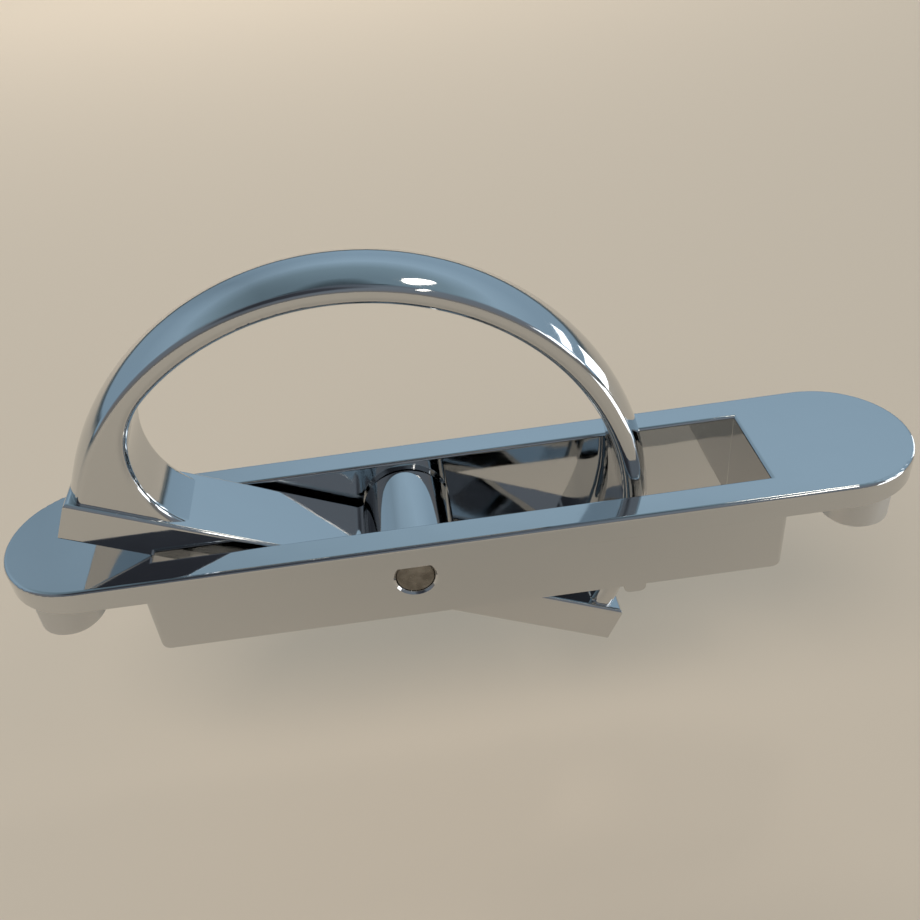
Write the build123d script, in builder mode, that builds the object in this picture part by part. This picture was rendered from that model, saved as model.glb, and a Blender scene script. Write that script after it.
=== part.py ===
from build123d import *
import math
import os

os.makedirs("parts", exist_ok=True)

# Recessed pull handle: a faceplate cast in one with its housing, a D-shaped grip and the pivot pin.
# Sizes are in millimetres. The origin is the middle of the faceplate's seating face, +Z points out of
# the door and X runs along the faceplate. The grip is drawn swung open, resting on the slot's rim.

# Faceplate
plate_length = 140.0
plate_width = 26.0
plate_thickness = 3.8
plate_edge_radius = 0.6
slot_length = 92.0
slot_width = 16.2
slot_rim_radius = 0.5

# Housing behind the faceplate
housing_wall = 2.4
housing_depth = 12.1
housing_bottom_radius = 1.6
housing_side_radius = 0.8
lug_shift = 25.6
lug_width = 3.4
lug_height = 1.4
lug_radius = 1.0

# Mounting posts, each with a blind hole tapped M4
post_spacing = 128.0
post_diameter = 10.5
post_foot_chamfer = 0.8
thread_core_diameter = 3.3
thread_hole_depth = 9.0

# Pivot pin
pin_diameter = 6.0
pin_shift = 7.9
pin_depth = 8.3
pin_recess = 0.35
pin_end_chamfer = 0.2
pin_hole_chamfer = 0.35
pin_seat_clearance = 0.02
pin_running_clearance = 0.05

# Grip
bar_thickness = 6.4
bar_side_clearance = 1.2
bar_swing_clearance = 0.35
bar_far_gap = 2.1
bar_edge_radius = 0.6
bar_outer_edge_radius = 0.3
bar_rest_clearance = 0.05
bow_width = 12.2
bow_crown = 1.7
bow_crease_chamfer = 0.7
bow_top_thickness = 4.3
bow_side_thickness = 4.7
bow_centre_height = 1.0
bow_setback = 0.6
window_corner_radius = 14.0
window_foot_radius = 1.0
window_corner_drop = 0.4
window_edge_radius = 1.4
knuckle_radius = 7.1
knuckle_end_clearance = 0.35
knuckle_end_chamfer = 0.6
knuckle_root_radius = 1.5

# Housing and pin positions that follow from those sizes
housing_length = slot_length + 2 * housing_wall
housing_width = slot_width + 2 * housing_wall
pin_x = -pin_shift
pin_z = plate_thickness - pin_depth
pin_length = housing_width - 2 * pin_recess

# Grip sizes. Shut, its outer face lies flush with the faceplate, so the pin is as far below that face.
# The short end swings up past its end wall with the swing clearance. The long end comes down from above
# and leaves a wider gap for a fingernail.
bar_outer = -pin_depth
bar_inner = bar_outer + bar_thickness
bar_width = slot_width - 2 * bar_side_clearance
near_wall = slot_length / 2 - pin_shift
far_wall = slot_length / 2 + pin_shift
short_arm = math.sqrt((near_wall - bar_swing_clearance) ** 2 - pin_depth**2)
long_arm = far_wall - bar_far_gap
bar_length = short_arm + long_arm
bar_middle = (long_arm - short_arm) / 2
# The bow is flush with the bar's long end and set back from its short end.
bow_middle = bar_middle + bow_setback / 2
bow_radius = (bar_length - bow_setback) / 2
bow_side_radius = bow_radius - bow_crown
window_radius = bow_radius - bow_side_thickness
window_centre_height = bow_centre_height + bow_side_thickness - bow_top_thickness
knuckle_length = slot_width - 2 * knuckle_end_clearance

# Open, the bar's outer face comes to rest on the rounded rim at the slot's near end.
rim_reach = near_wall + slot_rim_radius
rim_rise = pin_depth - slot_rim_radius
rim_offset = pin_depth + slot_rim_radius + bar_rest_clearance
rim_distance = math.hypot(rim_reach, rim_rise)
open_tilt = math.asin(rim_offset / rim_distance) + math.atan2(rim_rise, rim_reach)

plate_top = Plane.XY.offset(plate_thickness)
post_foot = Plane.XY.offset(-housing_depth)
# The grip's own plane: local X runs from the pin to the long end, local Y from the bar to the bow.
grip_side = Plane(
    origin=(pin_x, 0, pin_z),
    x_dir=(-math.cos(open_tilt), 0, math.sin(open_tilt)),
    z_dir=(0, 1, 0),
)

with BuildPart() as faceplate:
    # Housing: a side view with rounded bottom corners, trimmed to a plan with rounded upright edges.
    with BuildSketch(Plane.XZ):
        with Locations((0, -housing_depth)):
            Rectangle(housing_length, housing_depth, align=(Align.CENTER, Align.MIN))
        bottom_corners = vertices().group_by(Axis.Y)[0]
        fillet(bottom_corners, housing_bottom_radius)
    extrude(amount=housing_width / 2, both=True)
    with BuildSketch(Plane.XY):
        RectangleRounded(housing_length, housing_width, housing_side_radius)
    extrude(amount=-housing_depth, mode=Mode.INTERSECT)

    # Posts
    with BuildSketch(Plane.XY):
        with GridLocations(post_spacing, 0, 2, 1):
            Circle(post_diameter / 2)
    extrude(amount=-housing_depth)
    post_rims = edges().filter_by(GeomType.CIRCLE).group_by(Axis.Z)[0]
    post_rims = post_rims.filter_by(lambda rim: abs(rim.radius - post_diameter / 2) < 0.01)
    chamfer(post_rims, post_foot_chamfer)

    # Small rounded lug across the housing's bottom; the slot cut leaves it under each side wall
    with BuildSketch(Plane.XZ):
        with Locations((lug_shift, -housing_depth - lug_height)):
            Rectangle(lug_width, lug_height + housing_bottom_radius, align=(Align.CENTER, Align.MIN))
        fillet(vertices().group_by(Axis.Y)[0], lug_radius)
    extrude(amount=housing_width / 2, both=True)

    # Plate
    with BuildSketch(Plane.XY):
        SlotOverall(plate_length, plate_width)
    extrude(amount=plate_thickness)
    fillet(faces().sort_by(Axis.Z)[-1].edges(), plate_edge_radius)

    # Slot, cut right through the plate, the housing and the lug
    with BuildSketch(plate_top):
        Rectangle(slot_length, slot_width)
    extrude(amount=-(plate_thickness + housing_depth + lug_height), mode=Mode.SUBTRACT)
    fillet(faces().sort_by(Axis.Z)[-1].inner_wires().edges(), slot_rim_radius)

    # Tapped holes in the posts
    with BuildSketch(post_foot):
        with GridLocations(post_spacing, 0, 2, 1):
            Circle(thread_core_diameter / 2)
    extrude(amount=thread_hole_depth, mode=Mode.SUBTRACT)

    # Pin hole through both side walls, with a small chamfer outside
    with BuildSketch(Plane.XZ):
        with Locations((pin_x, pin_z)):
            Circle(pin_diameter / 2 + pin_seat_clearance)
    extrude(amount=housing_width, both=True, mode=Mode.SUBTRACT)
    pin_hole_rims = edges().filter_by(GeomType.CIRCLE)
    pin_hole_rims = pin_hole_rims.filter_by(lambda rim: abs(abs(rim.center().Y) - housing_width / 2) < 0.01)
    pin_hole_rims = pin_hole_rims.filter_by(
        lambda rim: abs(rim.radius - pin_diameter / 2 - pin_seat_clearance) < 0.01
    )
    chamfer(pin_hole_rims, pin_hole_chamfer)

with BuildPart() as pivot_pin:
    with BuildSketch(Plane.XZ):
        with Locations((pin_x, pin_z)):
            Circle(pin_diameter / 2)
    extrude(amount=pin_length / 2, both=True)
    chamfer(edges().filter_by(GeomType.CIRCLE), pin_end_chamfer)

# The grip's bar, with larger edge radii round its inner face
bar_top = Plane(
    origin=grip_side.from_local_coords((bar_middle, bar_inner, 0)),
    x_dir=grip_side.x_dir,
    z_dir=grip_side.y_dir,
)
with BuildPart() as bar:
    with BuildSketch(bar_top):
        Rectangle(bar_length, bar_width)
    extrude(amount=-bar_thickness)
    bar_faces = faces().sort_by(Axis(bar_top.origin, bar_top.z_dir))
    fillet(bar_faces[-1].edges(), bar_edge_radius)
    bar_faces = faces().sort_by(Axis(bar_top.origin, bar_top.z_dir))
    fillet(bar_faces[0].edges(), bar_outer_edge_radius)

with BuildPart() as grip:
    # Bow: a crowned section with chamfered edges, turned half a circle about the bow's middle
    bow_axis = Axis(grip_side.from_local_coords((bow_middle, bow_centre_height, 0)), grip_side.z_dir)
    bow_foot = Plane(origin=bow_axis.position, x_dir=grip_side.x_dir, z_dir=grip_side.y_dir)
    with BuildSketch(bow_foot) as bow_section:
        with BuildLine():
            crown = ThreePointArc(
                (bow_side_radius, -bow_width / 2),
                (bow_radius, 0),
                (bow_side_radius, bow_width / 2),
            )
            Polyline(crown @ 1, (0, bow_width / 2), (0, -bow_width / 2), crown @ 0)
        make_face()
        chamfer(vertices().group_by(Axis.X)[-1], bow_crease_chamfer)
    revolve(axis=bow_axis, revolution_arc=180)

    # Both feet run straight down into the bar
    with BuildSketch(bow_foot):
        add(bow_section.sketch_local)
        mirror(about=Plane.YZ)
    extrude(amount=-(bow_centre_height - bar_outer - bar_thickness / 2))

    # Window: an arch over the bar's inner face, with rounded rims and a wide corner radius at the long end.
    # It dips a little into the bar, so that this corner runs out to a point on the bar's inner face.
    with BuildSketch(grip_side):
        with Locations((bow_middle, window_centre_height)):
            Circle(window_radius)
        with Locations((bow_middle, bar_inner - window_corner_drop)):
            Rectangle(bar_length, bow_radius, align=(Align.CENTER, Align.MAX), mode=Mode.SUBTRACT)
        fillet(vertices().sort_by(Axis.X)[-1], window_corner_radius)
        fillet(vertices().sort_by(Axis.X)[0], window_foot_radius)
    extrude(amount=bow_width, both=True, mode=Mode.SUBTRACT)
    bow_sides = faces().filter_by(GeomType.PLANE).filter_by(Axis.Y)
    window_rims = [rim for side in bow_sides for rim in side.inner_wires().edges()]
    fillet(window_rims, window_edge_radius)

    # Bar
    add(bar.part)

    # Knuckle round the pin, blended into the bar
    with BuildSketch(grip_side):
        with Locations((0, bar_inner)):
            Rectangle(4 * knuckle_radius, bar_thickness / 2, align=(Align.CENTER, Align.MAX))
        Circle(knuckle_radius)
        knuckle_roots = vertices().group_by(Axis.Y)[-1]
        knuckle_roots = knuckle_roots.filter_by(lambda corner: abs(corner.X) < knuckle_radius)
        fillet(knuckle_roots, knuckle_root_radius)
    extrude(amount=bar_width / 2 - bar_edge_radius, both=True)
    with BuildSketch(grip_side):
        Circle(knuckle_radius)
    extrude(amount=knuckle_length / 2, both=True)
    knuckle_rims = edges().filter_by(GeomType.CIRCLE)
    knuckle_rims = knuckle_rims.filter_by(
        lambda rim: abs(abs(rim.center().Y) - knuckle_length / 2) < 0.01
    )
    chamfer(knuckle_rims, knuckle_end_chamfer)

    # Bore for the pin
    with BuildSketch(grip_side):
        Circle(pin_diameter / 2 + pin_running_clearance)
    extrude(amount=knuckle_length, both=True, mode=Mode.SUBTRACT)

faceplate.part.label = "faceplate"
pivot_pin.part.label = "pivot_pin"
grip.part.label = "grip"

export_step(faceplate.part, "parts/faceplate.step")
export_step(pivot_pin.part, "parts/pivot_pin.step")
export_step(grip.part, "parts/grip.step")
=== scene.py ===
import bpy
import math
from mathutils import Matrix, Vector


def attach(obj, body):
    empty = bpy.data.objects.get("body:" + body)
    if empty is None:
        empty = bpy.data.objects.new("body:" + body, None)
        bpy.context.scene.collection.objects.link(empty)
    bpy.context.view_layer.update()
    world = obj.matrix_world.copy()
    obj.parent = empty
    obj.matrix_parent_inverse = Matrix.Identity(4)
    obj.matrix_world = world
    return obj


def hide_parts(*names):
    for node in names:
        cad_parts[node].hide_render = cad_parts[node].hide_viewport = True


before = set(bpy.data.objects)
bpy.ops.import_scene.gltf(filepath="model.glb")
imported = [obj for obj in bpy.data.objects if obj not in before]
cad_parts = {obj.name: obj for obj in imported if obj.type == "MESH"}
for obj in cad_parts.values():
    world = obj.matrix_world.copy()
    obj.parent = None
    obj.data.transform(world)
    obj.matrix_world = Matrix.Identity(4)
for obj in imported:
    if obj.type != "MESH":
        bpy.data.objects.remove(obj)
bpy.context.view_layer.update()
scene = bpy.context.scene
scene.view_settings.view_transform = "Standard"

# ---------------------------------------------------------------- camera

# Where it stands, and how far it turns, looks down and rolls
CAMERA_PLACE = Vector((-0.0056, -0.1190, 0.0964))
CAMERA_TURN = math.radians(0.17)
CAMERA_DOWN = math.radians(37.15)
CAMERA_ROLL = math.radians(-7.87)
CAMERA_LENS = 38.35
CAMERA_SHIFT = (0.0486, 0.0200)
CAMERA_CLIP_START = 0.01

camera_data = bpy.data.cameras.new("camera")
camera_data.lens = CAMERA_LENS
camera_data.shift_x, camera_data.shift_y = CAMERA_SHIFT
camera_data.clip_start = CAMERA_CLIP_START
camera = bpy.data.objects.new("camera", camera_data)
camera.matrix_world = (
    Matrix.Translation(CAMERA_PLACE)
    @ Matrix.Rotation(CAMERA_TURN, 4, "Z")
    @ Matrix.Rotation(math.pi / 2 - CAMERA_DOWN, 4, "X")
    @ Matrix.Rotation(CAMERA_ROLL, 4, "Z")
)
scene.collection.objects.link(camera)
scene.camera = camera

# ---------------------------------------------------------------- shader helpers


def add_node(nodes, kind, **values):
    """A shader node of the kind, with the named inputs set."""
    node = nodes.new(kind)
    for name, value in values.items():
        node.inputs[name.replace("_", " ")].default_value = value
    return node


def calculate(nodes, links, operation, *values):
    """The result of a calculation on values, each of which is a number or another node's output."""
    node = nodes.new("ShaderNodeMath")
    node.operation = operation
    for socket, value in zip(node.inputs, values):
        if isinstance(value, bpy.types.NodeSocket):
            links.new(value, socket)
        else:
            socket.default_value = value
    return node.outputs[0]


def spread(nodes, links, value, start, end, low=0.0, high=1.0):
    """A value between start and end, brought to lie between low and high."""
    node = add_node(nodes, "ShaderNodeMapRange", From_Min=start, From_Max=end, To_Min=low, To_Max=high)
    links.new(value, node.inputs["Value"])
    return node.outputs["Result"]


def noise(nodes, links, place, scale, detail):
    """Noise in object space."""
    node = add_node(nodes, "ShaderNodeTexNoise", Scale=scale, Detail=detail)
    links.new(place, node.inputs["Vector"])
    return node.outputs["Fac"]


def bumped(nodes, links, height, depth, strength, normal=None):
    """The normal of a surface with a relief of the given depth, laid over another normal if there is one."""
    node = add_node(nodes, "ShaderNodeBump", Strength=strength, Distance=depth)
    links.new(height, node.inputs["Height"])
    if normal:
        links.new(normal, node.inputs["Normal"])
    return node.outputs["Normal"]


def colour_ramp(nodes, links, value, steps):
    """Colours in steps along a value."""
    node = nodes.new("ShaderNodeValToRGB")
    links.new(value, node.inputs["Fac"])
    elements = node.color_ramp.elements
    elements[0].position, elements[0].color = steps[0][0], (*steps[0][1], 1)
    elements[1].position, elements[1].color = steps[-1][0], (*steps[-1][1], 1)
    for position, colour in steps[1:-1]:
        elements.new(position).color = (*colour, 1)
    return node.outputs["Color"]


def new_material(name):
    """A node material, with its nodes, its links and its Principled shader."""
    material = bpy.data.materials.new(name)
    material.use_nodes = True
    nodes = material.node_tree.nodes
    return material, nodes, material.node_tree.links, nodes["Principled BSDF"]


# ---------------------------------------------------------------- chrome

CHROME_COLOUR = (0.60, 0.61, 0.62, 1)
SHARP_EDGE_ROUNDING = 0.00012
EDGE_SAMPLES = 6
WAVE_HEIGHT = 0.00004
PIT_DEPTH = 0.00004
# The satin part of the faceplate is the lower two thirds of its posts. It sets in between these places,
# outwards from the middle and down from the plate's back.
SATIN_START_SIDE = 0.0490
SATIN_FULL_SIDE = 0.0530
SATIN_START_HEIGHT = -0.0036
SATIN_FULL_HEIGHT = -0.0040
SATIN_ROUGHNESS = 0.30


def polished_roughness(nodes, links, place):
    """Mirror bright, with hazier smears where fingers have been."""
    smears = noise(nodes, links, place, scale=70, detail=5)
    haze = spread(nodes, links, smears, start=0.45, end=0.8, low=0.03, high=0.11)
    grain = noise(nodes, links, place, scale=1400, detail=2)
    dulling = spread(nodes, links, grain, start=0.35, end=0.7, low=0.0, high=0.03)
    return calculate(nodes, links, "ADD", haze, dulling)


def satin_share(nodes, links, place):
    """1 on the lower two thirds of the faceplate's posts, 0 on the rest."""
    axes = nodes.new("ShaderNodeSeparateXYZ")
    links.new(place, axes.inputs[0])
    outwards = calculate(nodes, links, "ABSOLUTE", axes.outputs["X"])
    outside = spread(nodes, links, outwards, SATIN_START_SIDE, SATIN_FULL_SIDE)
    below = spread(nodes, links, axes.outputs["Z"], SATIN_START_HEIGHT, SATIN_FULL_HEIGHT)
    return calculate(nodes, links, "MULTIPLY", outside, below)


def chrome_relief(nodes, links, place):
    """The long waves of a polished casting, with a few small pits in the plating."""
    edges = add_node(nodes, "ShaderNodeBevel", Radius=SHARP_EDGE_ROUNDING)
    edges.samples = EDGE_SAMPLES
    waves = noise(nodes, links, place, scale=130, detail=1)
    waved = bumped(nodes, links, waves, WAVE_HEIGHT, strength=1.0, normal=edges.outputs["Normal"])
    pits = add_node(nodes, "ShaderNodeTexVoronoi", Scale=110)
    links.new(place, pits.inputs["Vector"])
    pitted = spread(nodes, links, pits.outputs["Distance"], start=0.0, end=0.02)
    return bumped(nodes, links, pitted, PIT_DEPTH, strength=0.6, normal=waved)


def chrome(name, satin_feet=False):
    """Polished chrome on a zinc casting. With satin feet, the posts' lower part isn't polished."""
    material, nodes, links, shader = new_material(name)
    shader.inputs["Base Color"].default_value = CHROME_COLOUR
    shader.inputs["Metallic"].default_value = 1.0
    place = nodes.new("ShaderNodeTexCoord").outputs["Object"]
    roughness = polished_roughness(nodes, links, place)
    if satin_feet:
        satin = satin_share(nodes, links, place)
        roughness = calculate(nodes, links, "MULTIPLY_ADD", satin, SATIN_ROUGHNESS, roughness)
    links.new(roughness, shader.inputs["Roughness"])
    links.new(chrome_relief(nodes, links, place), shader.inputs["Normal"])
    return material


# ---------------------------------------------------------------- bare steel

STEEL_STAINED = (0.17, 0.155, 0.135)
STEEL_CLEAN = (0.30, 0.28, 0.25)
TOOL_MARK_DEPTH = 0.00002


def bare_steel():
    """The pin's cut end: dull stained steel with fine tool marks."""
    material, nodes, links, shader = new_material("pin_steel")
    shader.inputs["Metallic"].default_value = 1.0
    place = nodes.new("ShaderNodeTexCoord").outputs["Object"]
    stains = noise(nodes, links, place, scale=500, detail=4)
    colour = colour_ramp(nodes, links, stains, [(0.35, STEEL_STAINED), (0.65, STEEL_CLEAN)])
    links.new(colour, shader.inputs["Base Color"])
    wear = noise(nodes, links, place, scale=900, detail=3)
    roughness = spread(nodes, links, wear, start=0.35, end=0.7, low=0.22, high=0.42)
    links.new(roughness, shader.inputs["Roughness"])
    marks = noise(nodes, links, place, scale=2600, detail=2)
    relief = bumped(nodes, links, marks, TOOL_MARK_DEPTH, strength=0.5)
    links.new(relief, shader.inputs["Normal"])
    return material


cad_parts["faceplate"].material_slots[0].material = chrome("chrome_faceplate", satin_feet=True)
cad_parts["pivot_pin"].material_slots[0].material = bare_steel()

# ---------------------------------------------------------------- grip

# The CAD solid has a chamfer along both edges of the bow's crown. The copy made here rounds them.
# The sizes are the solid's own, in metres. U runs along the bar from the pin, W from the bar to the bow.
PIN = Vector((-0.0079, 0, -0.0045))
OPEN_TILT = math.radians(24.4112)
ALONG_U = Vector((-math.cos(OPEN_TILT), 0, math.sin(OPEN_TILT)))
ALONG_W = Vector((math.sin(OPEN_TILT), 0, math.cos(OPEN_TILT)))
BOW_MIDDLE = 0.0077869
BOW_CENTRE_HEIGHT = 0.0010
BOW_HALF_WIDTH = 0.0061
BOW_SIDE_RADIUS = 0.0423131
BOW_CROWN = 0.0017
CROWN_RADIUS = (BOW_HALF_WIDTH**2 + BOW_CROWN**2) / (2 * BOW_CROWN)
CROWN_SLOPE = math.asin(BOW_HALF_WIDTH / CROWN_RADIUS)
# The chamfer's edge on the bow's flank, by radius, and its edge on the crown, by distance from the middle
CREASE_CHAMFER = 0.0007
FLANK_EDGE_RADIUS = BOW_SIDE_RADIUS - CREASE_CHAMFER
CROWN_EDGE_SIDE = 0.00549
# How near a corner lies to an edge that it is on
NEAR = 0.00003
CREASE_STEPS = 7


def bow_place(point):
    """A point's distance from the bow's centre line and the outward direction there."""
    from_pin = point - PIN
    u = from_pin.dot(ALONG_U) - BOW_MIDDLE
    w = from_pin.dot(ALONG_W) - BOW_CENTRE_HEIGHT
    if w < 0:
        return abs(u), math.copysign(1, u) * ALONG_U
    outward = (u * ALONG_U + w * ALONG_W).normalized()
    return math.hypot(u, w), outward


def crease_corner(point):
    """Says whether a point lies on the chamfer's flank edge, on its crown edge or on neither."""
    reach, _ = bow_place(point)
    if abs(abs(point.y) - BOW_HALF_WIDTH) < NEAR and abs(reach - FLANK_EDGE_RADIUS) < NEAR:
        return "flank"
    if abs(abs(point.y) - CROWN_EDGE_SIDE) < NEAR and reach > BOW_SIDE_RADIUS:
        return "crown"
    return None


def split_mesh(mesh, kinds):
    """Sorts a mesh into the faces that stay, with their corner normals, and the chamfers' faces.
    Of the chamfers it gives the edges on the flank side and the corners on the crown side."""
    corner_normals = [Vector(normal.vector) for normal in mesh.corner_normals]
    faces, normals, flank_edges, crown_corners = [], [], set(), set()
    for polygon in mesh.polygons:
        corners = list(polygon.vertices)
        if {kinds[corner] for corner in corners} != {"flank", "crown"}:
            faces.append(corners)
            normals.extend(corner_normals[loop] for loop in polygon.loop_indices)
            continue
        crown_corners.update(corner for corner in corners if kinds[corner] == "crown")
        for first, second in zip(corners, corners[1:] + corners[:1]):
            if kinds[first] == kinds[second] == "flank":
                flank_edges.add((first, second))
    return faces, normals, sorted(flank_edges), sorted(crown_corners)


def arc_row(flank, crown):
    """Points and normals along the arc from a flank corner to the crown corner opposite it."""
    _, outward = bow_place(flank)
    side = Vector((0, math.copysign(1, flank.y), 0))
    sweep = math.pi / 2 - CROWN_SLOPE
    radius = (crown - flank).length / (2 * math.sin(sweep / 2))
    centre = flank - side * radius
    angles = [sweep * step / CREASE_STEPS for step in range(CREASE_STEPS + 1)]
    directions = [side * math.cos(angle) + outward * math.sin(angle) for angle in angles]
    points = [flank, *(centre + direction * radius for direction in directions[1:-1]), crown]
    return list(zip(points, directions))


def rounded_grip(solid):
    """A copy of the grip whose crease chamfers are strips bent round an arc, with smooth normals."""
    points = [vertex.co.copy() for vertex in solid.data.vertices]
    kinds = [crease_corner(point) for point in points]
    faces, normals, flank_edges, crown_corners = split_mesh(solid.data, kinds)
    crown_points = [points[corner] for corner in crown_corners]
    rows = {}

    def row_from(corner):
        """Numbers and normals of the row of points that starts at a flank corner."""
        flank = points[corner]
        key = tuple(flank)
        if key not in rows:
            crown = min(crown_points, key=lambda point: (point - flank).length)
            row = arc_row(flank, crown)
            rows[key] = [(len(points) + step, normal) for step, (_, normal) in enumerate(row)]
            points.extend(point for point, _ in row)
        return rows[key]

    for first, second in flank_edges:
        here, there = row_from(first), row_from(second)
        for step in range(CREASE_STEPS):
            quad = [here[step], there[step], there[step + 1], here[step + 1]]
            faces.append([number for number, _ in quad])
            normals.extend(normal for _, normal in quad)

    # The chamfers' own corners are left out
    used = sorted({number for face in faces for number in face})
    renumbered = {old: new for new, old in enumerate(used)}
    points = [points[number] for number in used]
    faces = [[renumbered[number] for number in face] for face in faces]
    mesh = bpy.data.meshes.new("grip_rounded")
    mesh.from_pydata(points, [], faces)
    mesh.polygons.foreach_set("use_smooth", [True] * len(faces))
    mesh.normals_split_custom_set(normals)
    mesh.materials.append(chrome("chrome_grip"))
    copy = bpy.data.objects.new("grip_rounded", mesh)
    scene.collection.objects.link(copy)
    return copy


grip = rounded_grip(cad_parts["grip"])
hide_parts("grip")
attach(grip, "pull")

# ---------------------------------------------------------------- floor

# Below the lowest point that the bow reaches when the grip is shut
FLOOR_LEVEL = -0.054
FLOOR_SIZE = 6
FLOOR_COLOUR = (0.68, 0.58, 0.475, 1)
FLOOR_ROUGHNESS = 0.9
FLOOR_SHINE = 0.2

bpy.ops.mesh.primitive_plane_add(size=FLOOR_SIZE, location=(0, 0, FLOOR_LEVEL))
floor = bpy.context.object
floor.name = "floor"
matt_floor, _, _, floor_shader = new_material("pale_floor")
floor_shader.inputs["Base Color"].default_value = FLOOR_COLOUR
floor_shader.inputs["Roughness"].default_value = FLOOR_ROUGHNESS
floor_shader.inputs["Specular IOR Level"].default_value = FLOOR_SHINE
floor.data.materials.append(matt_floor)

# ---------------------------------------------------------------- lamps and window


def panel(name, place, size, radiance, colour, target=(0, 0, 0), shape="RECTANGLE", turned=0, seen_in="all"):
    """A panel of light turned towards the target; the camera doesn't see the panel itself.
    It is seen in the chrome and on the floor, or only in one of them."""
    area = size[0] * size[1] * (math.pi / 4 if shape == "ELLIPSE" else 1)
    data = bpy.data.lights.new(name, "AREA")
    data.shape = shape
    data.size, data.size_y = size
    data.energy = radiance * math.pi * area
    data.color = colour
    light = bpy.data.objects.new(name, data)
    light.location = place
    facing = (Vector(target) - Vector(place)).to_track_quat("-Z", "Y")
    light.rotation_euler = (facing.to_matrix() @ Matrix.Rotation(math.radians(turned), 3, "Z")).to_euler()
    light.visible_camera = False
    light.visible_diffuse = seen_in != "chrome"
    light.visible_glossy = seen_in != "floor"
    scene.collection.objects.link(light)


def window_pane(name, place, size, target=(0, 0, 0)):
    """A bright pane that shows in the chrome alone."""
    panel(name, place, size, WINDOW_RADIANCE, DAYLIGHT, target, seen_in="chrome")


LAMPLIGHT = (1.0, 0.93, 0.82)
DAYLIGHT = (0.93, 0.97, 1.0)
CEILING_RADIANCE = 6.5
FRONT_FILL_RADIANCE = 3.5
BACK_FILL_RADIANCE = 3.6
WINDOW_RADIANCE = 2.6

# A thin ceiling tube that runs front to back, and a small lamp beyond its end
panel("tube", (0.52, -0.58, 1.0), (0.05, 0.62), CEILING_RADIANCE, LAMPLIGHT, (0.52, -0.58, 0))
panel(
    "lamp", (0.48, 0.385, 1.0), (0.26, 0.13), CEILING_RADIANCE, LAMPLIGHT, (0.48, 0.385, 0),
    shape="ELLIPSE", turned=35,
)
# Soft light over the floor, from the front on the left and from the back
panel("fill", (-0.35, -0.65, 0.95), (0.8, 0.8), FRONT_FILL_RADIANCE, LAMPLIGHT, seen_in="floor")
panel(
    "fill_back", (-0.10, 0.95, 0.55), (1.2, 0.4), BACK_FILL_RADIANCE, LAMPLIGHT, (-0.10, 0.60, -0.05),
    seen_in="floor",
)
# A window on the right: two panes towards the back, a strip by the sill, and two panes beside the plate's end
window_pane("pane_low", (0.46, 0.21, 0.0), (0.16, 0.10))
window_pane("pane_high", (0.46, 0.21, 0.125), (0.16, 0.04), (0, 0, 0.125))
window_pane("pane_sill", (0.19, -0.07, -0.02), (0.10, 0.06), (0, 0, -0.02))
window_pane("pane_side_1", (0.80, -0.11, 0.22), (0.15, 0.22))
window_pane("pane_side_2", (0.74, -0.31, 0.24), (0.15, 0.22))

# ---------------------------------------------------------------- room

# Colours of the room by height, where 0 is the horizon and 1 is straight up
BACK_OF_ROOM = [
    (0.00, (0.10, 0.13, 0.15)),
    (0.04, (0.30, 0.43, 0.54)),
    (0.35, (0.32, 0.46, 0.58)),
    (0.60, (0.39, 0.55, 0.68)),
    (0.78, (0.25, 0.36, 0.43)),
    (0.94, (0.20, 0.29, 0.35)),
    (0.965, (0.07, 0.10, 0.12)),
    (1.00, (0.12, 0.14, 0.17)),
]
FRONT_OF_ROOM = [
    (0.00, (0.24, 0.22, 0.20)),
    (0.25, (0.20, 0.22, 0.25)),
    (0.80, (0.20, 0.24, 0.28)),
    (1.00, (0.12, 0.14, 0.17)),
]
# Brightness from left to right, where 0.5 is straight ahead
BRIGHTNESS = [(0.0, 0.90), (0.20, 0.88), (0.32, 0.70), (0.44, 0.92), (0.52, 1.0), (0.70, 1.0), (1.0, 0.95)]
# The dark shape of someone who stands behind the camera, to the left
SOMEONE = Vector((-0.23, -0.57, 0.79))
SOMEONE_COLOUR = (0.06, 0.065, 0.08, 1)
SOMEONE_EDGE = 0.90
SOMEONE_MIDDLE = 0.97


def mixed(nodes, links, share, first, second):
    """One colour, with a share of another. The second is a colour or another node's output."""
    node = nodes.new("ShaderNodeMix")
    node.data_type = "RGBA"
    links.new(share, node.inputs["Factor"])
    links.new(first, node.inputs["A"])
    if isinstance(second, bpy.types.NodeSocket):
        links.new(second, node.inputs["B"])
    else:
        node.inputs["B"].default_value = second
    return node.outputs["Result"]


world = bpy.data.worlds.new("room")
scene.world = world
world.use_nodes = True
nodes, links = world.node_tree.nodes, world.node_tree.links
heading = nodes.new("ShaderNodeTexCoord").outputs["Generated"]
direction = nodes.new("ShaderNodeSeparateXYZ")
links.new(heading, direction.inputs[0])

back = colour_ramp(nodes, links, direction.outputs["Z"], BACK_OF_ROOM)
front = colour_ramp(nodes, links, direction.outputs["Z"], FRONT_OF_ROOM)
towards_back = spread(nodes, links, direction.outputs["Y"], start=-0.30, end=-0.05)
walls = mixed(nodes, links, towards_back, front, back)

towards = nodes.new("ShaderNodeVectorMath")
towards.operation = "DOT_PRODUCT"
towards.inputs[1].default_value = SOMEONE
links.new(heading, towards.inputs[0])
shade = spread(nodes, links, towards.outputs["Value"], SOMEONE_EDGE, SOMEONE_MIDDLE)
links.new(mixed(nodes, links, shade, walls, SOMEONE_COLOUR), nodes["Background"].inputs["Color"])

sideways = spread(nodes, links, direction.outputs["X"], start=-1.0, end=1.0)
greys = [(place, (level, level, level)) for place, level in BRIGHTNESS]
links.new(colour_ramp(nodes, links, sideways, greys), nodes["Background"].inputs["Strength"])
